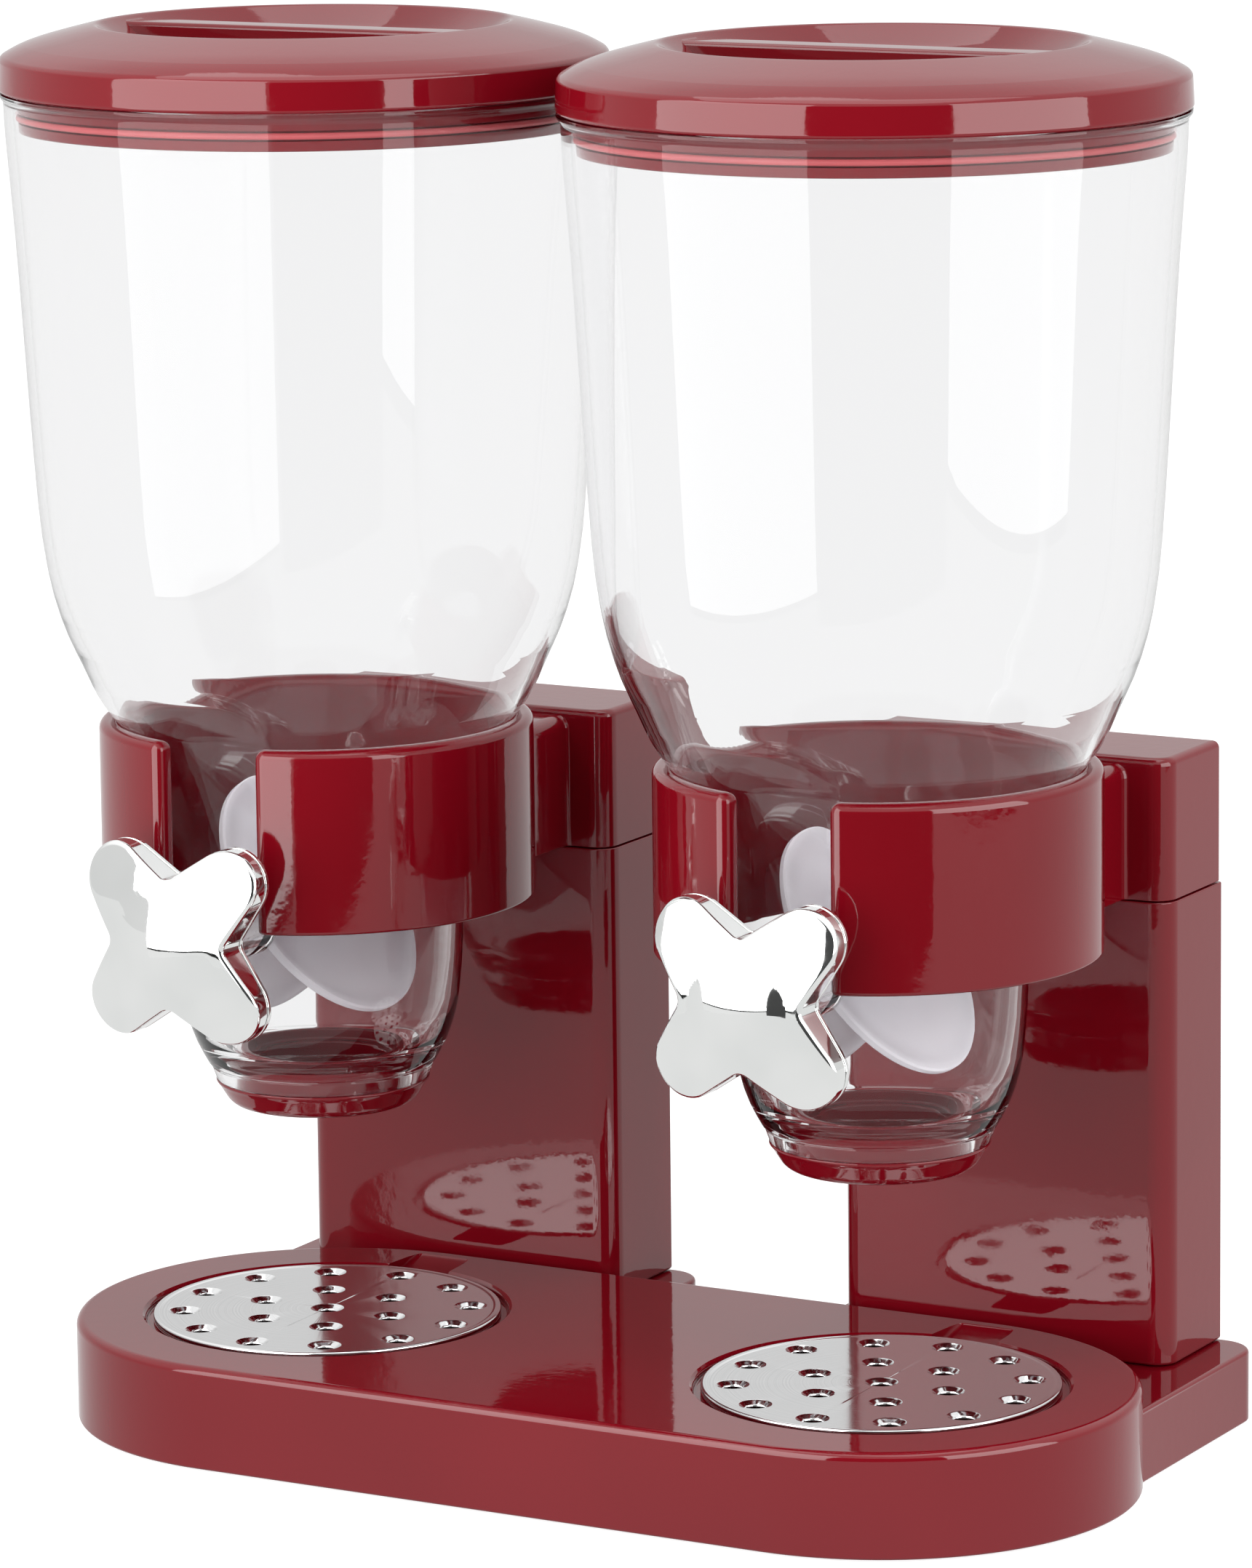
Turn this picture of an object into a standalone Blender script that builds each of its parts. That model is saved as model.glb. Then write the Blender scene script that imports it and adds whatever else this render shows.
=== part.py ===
"""Double dry-food dispenser: two clear hoppers with lids, each held by a collar on a column, over one base
with two lift-out drip discs. Blender script, metres, Z up, front is -Y, origin at the bottom centre."""

import math

import bmesh
import bpy
from mathutils import Vector

# ---- driving dimensions, in millimetres (MM turns them into metres) ----
MM = 0.001
AXIS_X = 87.0  # each hopper stands this far either side of the middle
AXIS_Y = -13.5  # hopper axes, measured from the middle of the depth
GAP = 0.3  # between neighbouring pieces
SEG = 32  # sides of a big round piece

BASE_BOTTOM = 0.3
BASE_TOP = 29.0
BASE_R = 70.2
BASE_WALL = 2.7
TOP_PLATE = 3.0
WELL_R = 50.6
WELL_LEDGE_Z = 26.8
BASIN_R = 46.0
BASIN_FLOOR_Z = 14.0
PLINTH_IN = 25.5  # inner and outer side of a plinth, from the middle
PLINTH_OUT = 149.0
PLINTH_REAR = 110.5
PLINTH_FRONT = 30.0  # inside the platform
PLINTH_TOP = 20.5

DISC_R = 48.7
DISC_Z = (27.1, 29.3)
HOLE_RINGS = ((1, 0.0), (6, 20.1), (12, 40.0))
HOLE_R = 3.0
HOLE_MOUTH_R = 4.6

COLUMN_HALF = 50.5
COLUMN_FRONT = 74.0
COLUMN_REAR = 110.0
COLUMN_WALL = 3.0
COLUMN_FRONT_R = 6.5
COLUMN_REAR_R = 1.2
COLUMN_Z = (20.8, 150.7)
BLOCK_Z = (151.0, 190.5)
NECK_HALF = 37.3
NECK_TOP = 188.5
NECK_FLARE = 1.6
COLLAR_R = 60.0
COLLAR_BORE = 54.0
COLLAR_Z = (148.0, 198.5)
SLOT_HALF = 14.3

SHAFT_Z = 148.0
SHAFT_R = 4.0
BOSS_R = 10.4
BOSS_FRONT = -62.0
VANES = 6
VANE_R = 37.0
VANE_T = 2.0
VANE_FIRST = -55.0  # angle of the first vane about the shaft, degrees

KNOB_FRONT = -75.5
KNOB_CROWN = 6.3
KNOB_REACH = 33.6
KNOB_BACK = -68.9
KNOB_SPLIT = -70.9
LOBE_R = 9.6
LOBE_OUT = 24.0
VALLEY_R = 3.5
VALLEY_OUT = 21.5

# hopper: (radius, height), outside from the outlet up, then inside from the rim down
HOPPER_OUT = (
    (29.7, 96.6), (31.2, 100.6), (35.2, 107.5), (37.8, 115.5), (39.7, 138.0), (40.6, 152.0), (52.7, 190.0),
    (53.4, 196.0), (55.0, 198.7), (57.4, 199.7), (60.7, 206.0), (67.0, 220.0), (72.1, 235.0), (75.9, 263.0),
    (79.7, 334.0), (81.8, 361.0), (83.2, 369.5), (83.2, 372.0),
)
HOPPER_IN = (
    (79.2, 372.0), (79.0, 361.0), (77.2, 334.0), (73.4, 263.0), (69.6, 235.0), (64.4, 220.0), (58.0, 206.0),
    (54.6, 200.4), (50.6, 194.0), (38.3, 152.0), (37.1, 134.0), (34.0, 113.5), (27.0, 104.0), (23.9, 101.5),
    (23.9, 96.6),
)
FACET = ((96.0, 90.0), (140.0, 39.0), (150.0, 39.6), (190.0, 50.0), (199.0, 52.3), (212.0, 62.0), (216.0, 90.0),
         (372.0, 90.0))

# lid: outside from the skirt lip up and into the dish, then the underside back out
LID_PROFILE = (
    (83.0, 372.3), (83.5, 373.8), (83.1, 380.7), (82.3, 381.9), (74.0, 385.7), (66.0, 387.9), (58.2, 389.7),
    (56.5, 390.0), (55.0, 389.2), (46.0, 382.0), (28.0, 377.3), (0.0, 376.0), (0.0, 373.4), (29.0, 374.8), (47.5, 379.6),
    (57.0, 386.6), (74.0, 383.6), (75.4, 380.0), (75.4, 362.0), (78.0, 362.0), (78.0, 364.7), (76.9, 364.9),
    (76.9, 367.3), (78.0, 367.5), (78.0, 372.3),
)


# ---- scene and mesh helpers ----
def clear_scene():
    for obj in list(bpy.data.objects):
        bpy.data.objects.remove(obj, do_unlink=True)
    for block in (bpy.data.meshes, bpy.data.materials, bpy.data.curves):
        for item in list(block):
            block.remove(item)


def material(name, color, rough, metallic=0.0, transmission=0.0, ior=1.5, coat=0.0):
    mat = bpy.data.materials.new(name)
    mat.use_nodes = True
    shader = mat.node_tree.nodes["Principled BSDF"]
    shader.inputs["Base Color"].default_value = (*color, 1.0)
    shader.inputs["Roughness"].default_value = rough
    shader.inputs["Metallic"].default_value = metallic
    shader.inputs["Transmission Weight"].default_value = transmission
    shader.inputs["IOR"].default_value = ior
    shader.inputs["Coat Weight"].default_value = coat
    mat.diffuse_color = (*color, 1.0)
    return mat


def make(name, verts, faces, mat, origin=(0.0, 0.0, 0.0), helper=False, sharp=38.0):
    """An object from points in millimetres, its origin moved to the given point."""
    shift = Vector(origin)
    mesh = bpy.data.meshes.new(name)
    mesh.from_pydata([(Vector(v) - shift) * MM for v in verts], [], faces)
    work = bmesh.new()
    work.from_mesh(mesh)
    bmesh.ops.remove_doubles(work, verts=work.verts, dist=1e-7)
    bmesh.ops.recalc_face_normals(work, faces=work.faces)
    work.to_mesh(mesh)
    work.free()
    mesh.shade_smooth()
    mesh.set_sharp_from_angle(angle=math.radians(sharp))
    obj = bpy.data.objects.new(name, mesh)
    obj.location = shift * MM
    bpy.context.scene.collection.objects.link(obj)
    if mat is not None:
        mesh.materials.append(mat)
    if helper:
        obj.hide_render = True
        obj.display_type = "WIRE"
    return obj


def boolean(obj, other, operation):
    mod = obj.modifiers.new(operation.lower() + "_" + other.name, "BOOLEAN")
    mod.object = other
    mod.operation = operation
    mod.solver = "EXACT"
    return mod


def loft(rings, closed=False):
    """Points and faces through rings of points. A ring of one point is a pole; open ends are capped."""
    verts, spans, faces = [], [], []
    for ring in rings:
        spans.append((len(verts), len(ring)))
        verts.extend(ring)
    pairs = list(zip(spans, spans[1:]))
    if closed:
        pairs.append((spans[-1], spans[0]))
    for (a, na), (b, nb) in pairs:
        if na == 1 and nb == 1:
            continue
        if na == 1:
            faces.extend((a, b + i, b + (i + 1) % nb) for i in range(nb))
        elif nb == 1:
            faces.extend((a + i, b, a + (i + 1) % na) for i in range(na))
        else:
            faces.extend((a + i, b + i, b + (i + 1) % nb, a + (i + 1) % na) for i in range(na))
    if not closed:
        for start, count in (spans[0], spans[-1]):
            if count > 2:
                faces.append(tuple(range(start, start + count)))
    return verts, faces


def circle(r, z, cx=0.0, cy=0.0, n=SEG, turn=0.0):
    if r <= 0.0:
        return [(cx, cy, z)]
    step = 2.0 * math.pi / n
    return [(cx + r * math.cos(i * step + turn), cy + r * math.sin(i * step + turn), z) for i in range(n)]


def turned_z(profile, cx, cy, n=SEG, closed=False):
    """A body of revolution about a vertical axis, from (radius, height) pairs."""
    return loft([circle(r, z, cx, cy, n) for r, z in profile], closed)


def turned_y(profile, cx, cz, n=SEG, closed=False):
    """A body of revolution about an axis along Y, from (radius, y) pairs."""
    rings = []
    for r, y in profile:
        rings.append([(cx + u, y, cz + v) for u, v, _ in circle(r, 0.0, n=n)])
    return loft(rings, closed)


def rounded_box(x0, x1, y0, y1, r, z, n=4, front_r=None):
    """Outline of a rectangle with rounded corners, n sides to a corner."""
    front = r if front_r is None else front_r
    corners = (
        (x1 - front, y0 + front, -90.0, front), (x1 - r, y1 - r, 0.0, r),
        (x0 + r, y1 - r, 90.0, r), (x0 + front, y0 + front, 180.0, front),
    )
    points = []
    for cx, cy, start, radius in corners:
        for i in range(n + 1):
            a = math.radians(start + 90.0 * i / n)
            points.append((cx + radius * math.cos(a), cy + radius * math.sin(a), z))
    return points


def box(x0, x1, y0, y1, z0, z1):
    rings = [[(x0, y0, z), (x1, y0, z), (x1, y1, z), (x0, y1, z)] for z in (z0, z1)]
    return loft(rings)


def stadium(r, z, n=15):
    """Outline of the base: two half circles about the hopper axes, joined by straight sides."""
    points = []
    for side, start in ((1, -90.0), (-1, 90.0)):
        for i in range(n + 1):
            a = math.radians(start + 180.0 * i / n)
            points.append((side * AXIS_X + r * math.cos(a), AXIS_Y + r * math.sin(a), z))
    return points


def place(points, cx):
    """Moves points given about a hopper axis to that axis."""
    return [(x + cx, y + AXIS_Y, z) for x, y, z in points]


def table(rows, z):
    """Straight-line value from rows of (height, value)."""
    for (z0, v0), (z1, v1) in zip(rows, rows[1:]):
        if z <= z1:
            return v0 + (v1 - v0) * (z - z0) / (z1 - z0)
    return rows[-1][1]


# ---- stand ----
def base_cutters(side, cx):
    tag = "left" if side < 0 else "right"
    y = AXIS_Y
    well = make("cut_well_" + tag, *turned_z(((0, WELL_LEDGE_Z), (WELL_R, WELL_LEDGE_Z), (WELL_R, 28.2),
                                              (WELL_R + 2.0, 30.2), (0, 30.2)), cx, y), None, helper=True)
    basin = make("cut_basin_" + tag, *turned_z(((0, BASIN_FLOOR_Z), (BASIN_R - 2.0, BASIN_FLOOR_Z),
                                                (BASIN_R, BASIN_FLOOR_Z + 2.0), (BASIN_R, 28.0), (0, 28.0)), cx, y),
                 None, helper=True)
    low = [(-10.0, 44.0, 21.5), (10.0, 44.0, 21.5), (10.0, 44.0, 31.0), (-10.0, 44.0, 31.0)]
    high = [(-8.8, 65.0, 28.2), (8.8, 65.0, 28.2), (8.8, 65.0, 31.0), (-8.8, 65.0, 31.0)]
    notch = make("cut_notch_" + tag, *loft([place(low, cx), place(high, cx)]), None, helper=True)
    return well, basin, notch


def foot_spots():
    return [(s * (AXIS_X + t * 41.4), AXIS_Y - 41.4, "front") for s in (-1, 1) for t in (-1, 1)] + [
        (s * (AXIS_X + t * 46.0), AXIS_Y + 96.0, "rear") for s in (-1, 1) for t in (-1, 1)]


def screw_spots():
    return [(s * (AXIS_X + t * 28.0), AXIS_Y + 91.0) for s in (-1, 1) for t in (-1, 1)]


def build_base(mat):
    edge = ((BASE_R - 0.6, BASE_BOTTOM), (BASE_R, BASE_BOTTOM + 1.0), (BASE_R, BASE_TOP - 2.5),
            (BASE_R - 0.75, BASE_TOP - 0.75), (BASE_R - 2.5, BASE_TOP))
    base = make("base", *loft([stadium(r, z) for r, z in edge]), mat)
    for side in (-1, 1):
        x0, x1 = sorted((side * PLINTH_IN, side * PLINTH_OUT))
        rings = []
        for inset, z in ((0.5, BASE_BOTTOM), (0.0, BASE_BOTTOM + 1.0), (0.0, PLINTH_TOP - 1.0), (1.0, PLINTH_TOP)):
            rings.append(rounded_box(x0 + inset, x1 - inset, AXIS_Y + PLINTH_FRONT, AXIS_Y + PLINTH_REAR - inset,
                                     10.0 - inset, z, front_r=1.0))
        plinth = make("add_plinth_" + str(side + 1), *loft(rings), None, helper=True)
        boolean(base, plinth, "UNION")
    cavity = make("cut_cavity", *loft([stadium(BASE_R - BASE_WALL, z) for z in (-2.0, BASE_TOP - TOP_PLATE)]),
                  None, helper=True)
    for i, (x, y, where) in enumerate(foot_spots()):
        boss = make("keep_foot_%d" % i, *turned_z(((7.5, 2.4), (7.5, 31.0)), x, y, 16), None, helper=True)
        if where == "front":
            boolean(cavity, boss, "DIFFERENCE")
    for side in (-1, 1):
        cx = side * AXIS_X
        keep = make("keep_basin_%d" % (side + 1), *turned_z(((48.6, 11.5), (48.6, 33.0)), cx, AXIS_Y),
                    None, helper=True)
        boolean(cavity, keep, "DIFFERENCE")
        block = make("keep_block_%d" % (side + 1), *box(cx - 13.0, cx + 13.0, AXIS_Y + 42.0, AXIS_Y + 69.5, 18.0, 32.0),
                     None, helper=True)
        boolean(cavity, block, "DIFFERENCE")
    boolean(base, cavity, "DIFFERENCE")
    for side in (-1, 1):
        x0, x1 = sorted((side * (PLINTH_IN + 2.8), side * (PLINTH_OUT - 2.8)))
        rings = [rounded_box(x0, x1, AXIS_Y + 73.0, AXIS_Y + PLINTH_REAR - 2.8, 7.0, z, n=3) for z in (-2.0, 17.7)]
        hollow = make("cut_plinth_%d" % (side + 1), *loft(rings), None, helper=True)
        for i, (x, y, where) in enumerate(foot_spots()):
            if where == "rear" and x * side > 0:
                boolean(hollow, bpy.data.objects["keep_foot_%d" % i], "DIFFERENCE")
        boolean(base, hollow, "DIFFERENCE")
        for cutter in base_cutters(side, side * AXIS_X):
            boolean(base, cutter, "DIFFERENCE")
    for i, (x, y) in enumerate(screw_spots()):
        drill = make("cut_screw_%d" % i, *turned_z(((2.4, 10.0), (2.4, 25.0)), x, y, 12), None, helper=True)
        boolean(base, drill, "DIFFERENCE")
    return base


def build_feet(mat):
    for x, y, where in foot_spots():
        name = "foot_%s_%s" % (where, "%s%s" % ("l" if x < 0 else "r", "i" if abs(x) < AXIS_X else "o"))
        profile = ((0, 0.0), (5.4, 0.0), (6.2, 0.8), (6.2, 2.1), (0, 2.1))
        make(name, *turned_z(profile, x, y, 12), mat, origin=(x, y, 0.0))


def build_screws(mat):
    for x, y in screw_spots():
        name = "screw_%s%s" % ("l" if x < 0 else "r", "i" if abs(x) < AXIS_X else "o")
        profile = ((0, 15.6), (1.6, 15.6), (1.6, 14.9), (3.6, 14.9), (4.1, 15.6), (4.1, 17.4), (2.0, 17.4),
                   (2.0, 26.2), (0.9, 27.3), (0, 27.3))
        make(name, *turned_z(profile, x, y, 10), mat, origin=(x, y, 17.4))


def build_column(tag, cx, mat):
    y0, y1 = AXIS_Y + COLUMN_FRONT, AXIS_Y + COLUMN_REAR
    z0, z1 = COLUMN_Z
    out = ((0.8, z0), (0.0, z0 + 0.8), (0.0, z1 - 0.4), (0.4, z1))
    rings = [rounded_box(cx - COLUMN_HALF + d, cx + COLUMN_HALF - d, y0 + d, y1 - d, COLUMN_REAR_R - d, z,
                         front_r=COLUMN_FRONT_R - d) for d, z in out]
    w = COLUMN_WALL
    for z in (z1, 30.0):
        rings.append(rounded_box(cx - COLUMN_HALF + w, cx + COLUMN_HALF - w, y0 + w, y1 - w, 0.8, z,
                                 front_r=COLUMN_FRONT_R - w))
    column = make("column_" + tag, *loft(rings), mat, origin=(cx, AXIS_Y + 92.0, z0))
    for i, (x, y) in enumerate(screw_spots()):
        if x * cx > 0:
            drill = make("cut_insert_%d" % i, *turned_z(((2.4, 15.0), (2.4, 28.0)), x, y, 12), None, helper=True)
            boolean(column, drill, "DIFFERENCE")
    return column


def collar_outline(d, z, n=28):
    """The collar's C shape in plan, drawn in by d all round: outer arc, slot end, inner arc, slot end."""
    ro, ri, half = COLLAR_R - d, COLLAR_BORE + d, SLOT_HALF + d
    corner = max(3.0 - d, 0.05)
    out_a = math.asin((half + corner) / (ro - corner))
    in_a = math.asin((half + 1.2) / ri)
    points = []
    span = 2.0 * math.pi - 2.0 * out_a
    for i in range(n + 1):  # from the slot's right side, right round to its left side
        a = -math.pi / 2 + out_a + span * i / n
        points.append((ro * math.cos(a), ro * math.sin(a), z))
    cy = -(ro - corner) * math.cos(out_a)
    for i in range(1, 4):  # rounded front corner, left side of the slot
        a = -math.pi / 2 - out_a + (math.pi / 2 + out_a) * i / 3
        points.append((-(half + corner) + corner * math.cos(a), cy + corner * math.sin(a), z))
    span = 2.0 * math.pi - 2.0 * in_a
    for i in range(n + 1):
        a = -math.pi / 2 - in_a - span * i / n
        points.append((ri * math.cos(a), ri * math.sin(a), z))
    for i in range(3, 0, -1):
        a = -math.pi / 2 - out_a + (math.pi / 2 + out_a) * i / 3
        points.append(((half + corner) - corner * math.cos(a), cy + corner * math.sin(a), z))
    return points


def build_stand_top(tag, cx, mat):
    z0, z1 = COLLAR_Z
    rings = []
    for d, z in ((0.8, z0), (0.0, z0 + 0.8), (0.0, z1 - 2.9), (0.8, z1 - 0.95), (2.4, z1)):
        rings.append(place(collar_outline(d, z), cx))
    verts, faces = loft(rings)
    caps, faces = faces[-2:], faces[:-2]
    n = 28
    for cap in caps:  # each cap is a strip from the outer arc to the inner arc
        outer, inner = list(cap[:n + 1]), list(cap[n + 4:2 * n + 5])[::-1]
        faces.extend((outer[i], outer[i + 1], inner[i + 1], inner[i]) for i in range(n))
        faces.append(tuple(cap[n:n + 5]))
        faces.append(tuple(cap[2 * n + 4:]) + (cap[0],))
    top = make("stand_top_" + tag, verts, faces, mat, origin=(cx, AXIS_Y, z0))
    half = NECK_HALF
    rings = []
    for d, z in ((0.0, BLOCK_Z[0]), (0.0, NECK_TOP - 4.0), (1.2, NECK_TOP - 1.2), (4.0, NECK_TOP)):
        w = half - d
        arc = [math.asin(w / 57.0) * (1.0 - i / 4.0) for i in range(9)]
        outline = [(57.0 * math.sin(a), 57.0 * math.cos(a), z) for a in arc]
        flare = ((w, 71.0), (w + 0.3 * NECK_FLARE, 73.2), (w + NECK_FLARE, 74.8), (w + NECK_FLARE, 77.0))
        outline += [(-x, y, z) for x, y in flare] + [(x, y, z) for x, y in flare[::-1]]
        rings.append(place(outline, cx))
    neck = make("add_neck_" + tag, *loft(rings), None, helper=True)
    boolean(top, neck, "UNION")
    y0, y1 = AXIS_Y + COLUMN_FRONT + 0.5, AXIS_Y + COLUMN_REAR - 0.5
    h = COLUMN_HALF - 0.5
    rings = []
    w = COLUMN_WALL + 0.4
    for z in (BLOCK_Z[0] - 13.0, BLOCK_Z[0]):  # tenon
        rings.append(rounded_box(cx - COLUMN_HALF + w, cx + COLUMN_HALF - w, y0 - 0.5 + w, y1 + 0.5 - w, 0.8, z,
                                 front_r=COLUMN_FRONT_R - w))
    for d, z in ((0.0, BLOCK_Z[0]), (0.0, BLOCK_Z[1] - 2.0), (0.6, BLOCK_Z[1] - 0.6), (2.0, BLOCK_Z[1])):
        rings.append(rounded_box(cx - h + d, cx + h - d, y0 + d, y1 - d, max(COLUMN_REAR_R - d, 0.4), z,
                                 front_r=COLUMN_FRONT_R - 0.3 - d))
    block = make("add_block_" + tag, *loft(rings), None, helper=True)
    boolean(top, block, "UNION")
    w = COLUMN_WALL + 3.2
    rings = [rounded_box(cx - COLUMN_HALF + w, cx + COLUMN_HALF - w, y0 - 0.5 + w, y1 + 0.5 - w, 2.0, z, n=2)
             for z in (BLOCK_Z[0] - 15.0, BLOCK_Z[1] - 3.5)]
    hollow = make("cut_block_" + tag, *loft(rings), None, helper=True)
    boolean(top, hollow, "DIFFERENCE")
    return top


def build_disc(tag, cx, mat):
    z0, z1 = DISC_Z
    profile = ((0, z0), (DISC_R - 0.5, z0), (DISC_R, z0 + 0.5), (DISC_R, z1 - 0.7), (DISC_R - 0.7, z1), (0, z1))
    disc = make("drip_disc_" + tag, *turned_z(profile, cx, AXIS_Y), mat, origin=(cx, AXIS_Y, z0))
    verts, faces = [], []
    hole = ((HOLE_R, z0 - 1.0), (HOLE_R, z0 + 0.9), (HOLE_MOUTH_R, z1), (HOLE_MOUTH_R + 0.5, z1 + 0.7))
    for count, ring_r in HOLE_RINGS:
        for i in range(count):
            a = 2.0 * math.pi * i / count
            v, f = turned_z(hole, cx + ring_r * math.cos(a), AXIS_Y + ring_r * math.sin(a), 8)
            faces.extend(tuple(j + len(verts) for j in face) for face in f)
            verts.extend(v)
    cutter = make("cut_holes_" + tag, verts, faces, None, helper=True)
    boolean(disc, cutter, "DIFFERENCE")
    return disc


# ---- hopper and its fittings ----
def hopper_ring(r, z, cx, wall):
    """A ring of the hopper, drawn in where the flat facet on the front cuts the cone."""
    flat = table(FACET, z) - wall
    points = []
    for i in range(SEG):
        a = 2.0 * math.pi * i / SEG
        front = -math.sin(a)
        reach = flat / front if front > 0.05 else 1e9
        s = min(r, reach)
        points.append((cx + s * math.cos(a), AXIS_Y + s * math.sin(a), z))
    return points


def build_hopper(tag, cx, mat):
    rings = [hopper_ring(r, z, cx, 0.0) for r, z in HOPPER_OUT]
    rings += [hopper_ring(r, z, cx, 2.3) for r, z in HOPPER_IN]
    hopper = make("hopper_" + tag, *loft(rings, closed=True), mat, origin=(cx, AXIS_Y, HOPPER_OUT[0][1]), sharp=50.0)
    y = AXIS_Y
    front = ((0, y - 38.7), (BOSS_R, y - 38.7), (BOSS_R, y + BOSS_FRONT + 0.8), (BOSS_R - 0.8, y + BOSS_FRONT),
             (0, y + BOSS_FRONT))
    rear = ((0, y + 38.7), (7.0, y + 38.7), (7.0, y + 44.4), (6.4, y + 45.0), (0, y + 45.0))
    boolean(hopper, make("add_boss_" + tag, *turned_y(front, cx, SHAFT_Z, 24), None, helper=True), "UNION")
    boolean(hopper, make("add_socket_" + tag, *turned_y(rear, cx, SHAFT_Z, 16), None, helper=True), "UNION")
    bore = ((6.5, y - 30.0), (6.5, y - 70.0))
    blind = ((3.6, y + 30.0), (3.6, y + 43.0))
    boolean(hopper, make("cut_bore_" + tag, *turned_y(bore, cx, SHAFT_Z, 20), None, helper=True), "DIFFERENCE")
    boolean(hopper, make("cut_blind_" + tag, *turned_y(blind, cx, SHAFT_Z, 14), None, helper=True), "DIFFERENCE")
    return hopper


def build_lid(tag, cx, mat):
    lid = make("lid_" + tag, *turned_z(LID_PROFILE, cx, AXIS_Y, closed=True), mat, origin=(cx, AXIS_Y, 372.3))
    rings = []
    under = ((0.0, 374.8), (30.0, 376.2), (46.0, 380.6), (55.0, 387.0), (56.0, 387.0))
    for x in (-56.0, -54.0, -46.0, -30.0, 0.0, 30.0, 46.0, 54.0, 56.0):
        top = 389.6 + 1.2 * (1.0 - (x / 56.0) ** 2)
        low = table(under, abs(x))
        rings.append([(x, -5.2, low), (x, 5.2, low), (x, 4.6, top - 2.0), (x, 3.2, top - 0.5),
                      (x, 0.0, top), (x, -3.2, top - 0.5), (x, -4.6, top - 2.0)])
    bar = make("add_bar_" + tag, *loft([place(ring, cx) for ring in rings]), None, helper=True)
    boolean(lid, bar, "UNION")
    return lid


def build_seal(tag, cx, mat):
    profile = ((77.2, 365.2), (78.2, 365.2), (78.7, 366.1), (78.2, 367.0), (77.2, 367.0))
    make("lid_seal_" + tag, *turned_z(profile, cx, AXIS_Y, closed=True), mat, origin=(cx, AXIS_Y, 366.1))


def build_cap(tag, cx, mat):
    profile = ((0, 89.3), (24.8, 89.3), (26.3, 90.4), (28.6, 94.4), (29.7, 95.6), (29.7, 96.3), (23.6, 96.3),
               (23.6, 102.4), (23.0, 103.0), (21.4, 103.0), (21.0, 99.0), (18.0, 98.4), (17.4, 92.4), (0, 92.0))
    make("outlet_cap_" + tag, *turned_z(profile, cx, AXIS_Y, 28), mat, origin=(cx, AXIS_Y, 96.3))


def build_bush(tag, cx, mat):
    y = AXIS_Y
    profile = ((4.3, y - 40.0), (6.2, y - 40.0), (6.2, y - 62.3), (8.6, y - 62.3), (8.6, y - 63.1), (4.3, y - 63.1))
    make("bush_" + tag, *turned_y(profile, cx, SHAFT_Z, 16, closed=True), mat, origin=(cx, y - 50.0, SHAFT_Z))


def build_shaft(tag, cx, mat):
    y = AXIS_Y
    profile = ((0, y - 70.2), (3.5, y - 70.2), (SHAFT_R, y - 69.7), (SHAFT_R, y + 36.8), (3.2, y + 36.8),
               (3.2, y + 42.2), (2.8, y + 42.6), (0, y + 42.6))
    make("shaft_" + tag, *turned_y(profile, cx, SHAFT_Z, 16), mat, origin=(cx, y - 66.0, SHAFT_Z))


def build_paddle(tag, cx, mat):
    """Six flexible vanes on a sleeve; their edges follow a sphere that clears the chamber."""
    hub = 7.2
    stations = (-36.0, -35.0, -33.0, -29.0, -23.0, -12.0, 0.0, 12.0, 23.0, 29.0, 33.0, 35.0, 36.0)
    rings = []
    for y in stations:
        reach = max(math.sqrt(max(VANE_R ** 2 - y * y, 0.0)), hub + 0.6)
        ring = []
        for k in range(VANES):
            a = math.radians(VANE_FIRST + 360.0 * k / VANES)
            ux, uz, vx, vz = math.cos(a), math.sin(a), -math.sin(a), math.cos(a)
            half = VANE_T / 2
            for along, across in ((hub - 0.2, -half), (reach - 0.5, -half), (reach, -half * 0.5),
                                  (reach, half * 0.5), (reach - 0.5, half), (hub - 0.2, half)):
                ring.append((cx + ux * along + vx * across, AXIS_Y + y, SHAFT_Z + uz * along + vz * across))
            b = a + math.pi / VANES
            ring.append((cx + hub * math.cos(b), AXIS_Y + y, SHAFT_Z + hub * math.sin(b)))
        rings.append(ring)
    paddle = make("paddle_" + tag, *loft(rings), mat, origin=(cx, AXIS_Y, SHAFT_Z))
    bore = make("cut_sleeve_" + tag, *turned_y(((4.3, AXIS_Y - 45.0), (4.3, AXIS_Y + 45.0)), cx, SHAFT_Z, 16),
                None, helper=True)
    boolean(paddle, bore, "DIFFERENCE")
    return paddle


def knob_outline(d, n_lobe=5, n_valley=3):
    """The four-lobed outline, drawn in by d: arcs on the lobes and in the valleys, joined by tangents."""
    points = []
    for k in range(4):
        a = math.radians(45.0 + 90.0 * k)
        b = math.radians(90.0 + 90.0 * k)
        lobe = Vector((LOBE_OUT * math.cos(a), LOBE_OUT * math.sin(a)))
        valley = Vector((VALLEY_OUT * math.cos(b), VALLEY_OUT * math.sin(b)))
        span = valley - lobe
        lean = math.acos(LOBE_R / span.length + VALLEY_R / span.length)
        heading = math.atan2(span.y, span.x)
        out_a = heading - lean  # normal where the outline leaves the lobe
        half = out_a - a
        half = (half + math.pi) % (2.0 * math.pi) - math.pi
        for i in range(n_lobe):
            t = a - half + 2.0 * half * i / (n_lobe - 1)
            r = LOBE_R - d
            points.append((lobe.x + r * math.cos(t), lobe.y + r * math.sin(t)))
        start = out_a + math.pi
        turn = (b + math.pi - start + math.pi) % (2.0 * math.pi) - math.pi
        for i in range(n_valley):
            t = start + 2.0 * turn * i / (n_valley - 1)
            r = VALLEY_R + d
            points.append((valley.x + r * math.cos(t), valley.y + r * math.sin(t)))
    return points


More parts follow.
